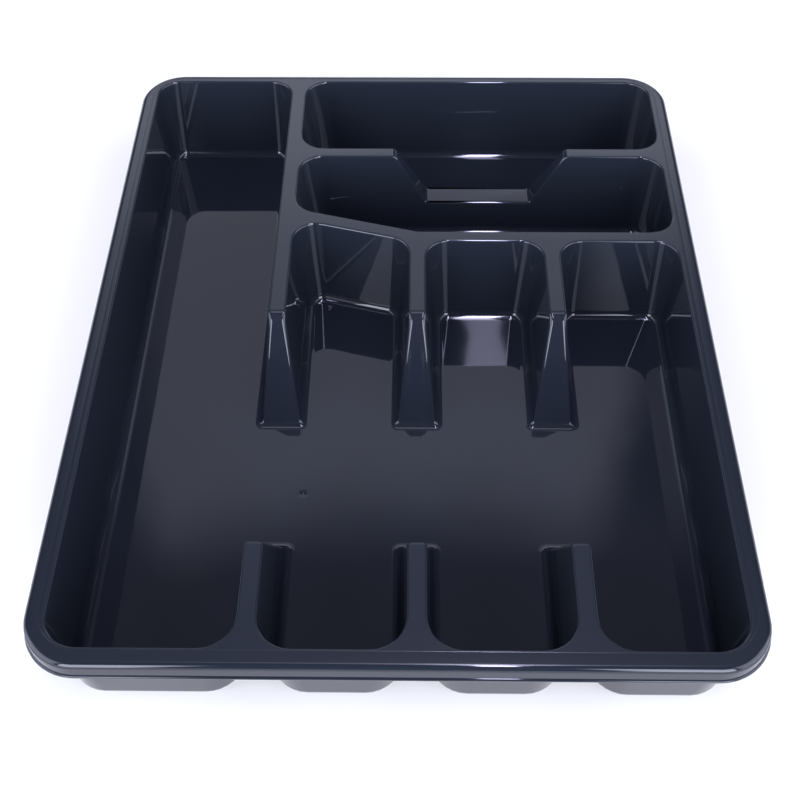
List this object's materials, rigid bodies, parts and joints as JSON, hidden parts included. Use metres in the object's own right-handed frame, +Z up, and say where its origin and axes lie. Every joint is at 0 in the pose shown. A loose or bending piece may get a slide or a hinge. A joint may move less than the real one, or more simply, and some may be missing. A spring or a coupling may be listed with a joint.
{
  "type": "cutlery tray",
  "caption": "Shallow open-top drawer tray with a long side bay, cross bays behind a notched wall, and ramped dividers that part an open floor into bays for cutlery.",
  "frame": {"origin": "under the middle of the tray, on the surface it rests on", "axes": "+Z up, +X to the right and +Y to the back as seen from the end with the front bays"},
  "size_m": [0.328, 0.401, 0.058],
  "materials": {
    "plastic": "gloss dark navy moulding"
  },
  "bodies": {
    "root": {"back_bay_floor": "plastic", "back_bay_left_wall": "plastic", "back_bay_right_wall": "plastic", "back_wall": "plastic", "column_a_back_wall": "plastic", "column_b_back_wall": "plastic", "column_c_back_wall": "plastic", "column_divider_1": "plastic", "column_divider_2": "plastic", "front_divider_1": "plastic", "front_divider_2": "plastic", "front_divider_3": "plastic", "front_wall_1": "plastic", "front_wall_2": "plastic", "front_wall_3": "plastic", "front_wall_4": "plastic", "left_wall": "plastic", "long_bay_back_wall": "plastic", "long_divider": "plastic", "main_floor": "plastic", "middle_bay_floor": "plastic", "middle_bay_front_wall": "plastic", "middle_bay_left_wall": "plastic", "middle_bay_right_wall": "plastic", "notched_wall": "plastic", "right_wall": "plastic", "rim": "plastic"}
  },
  "joints": []
}
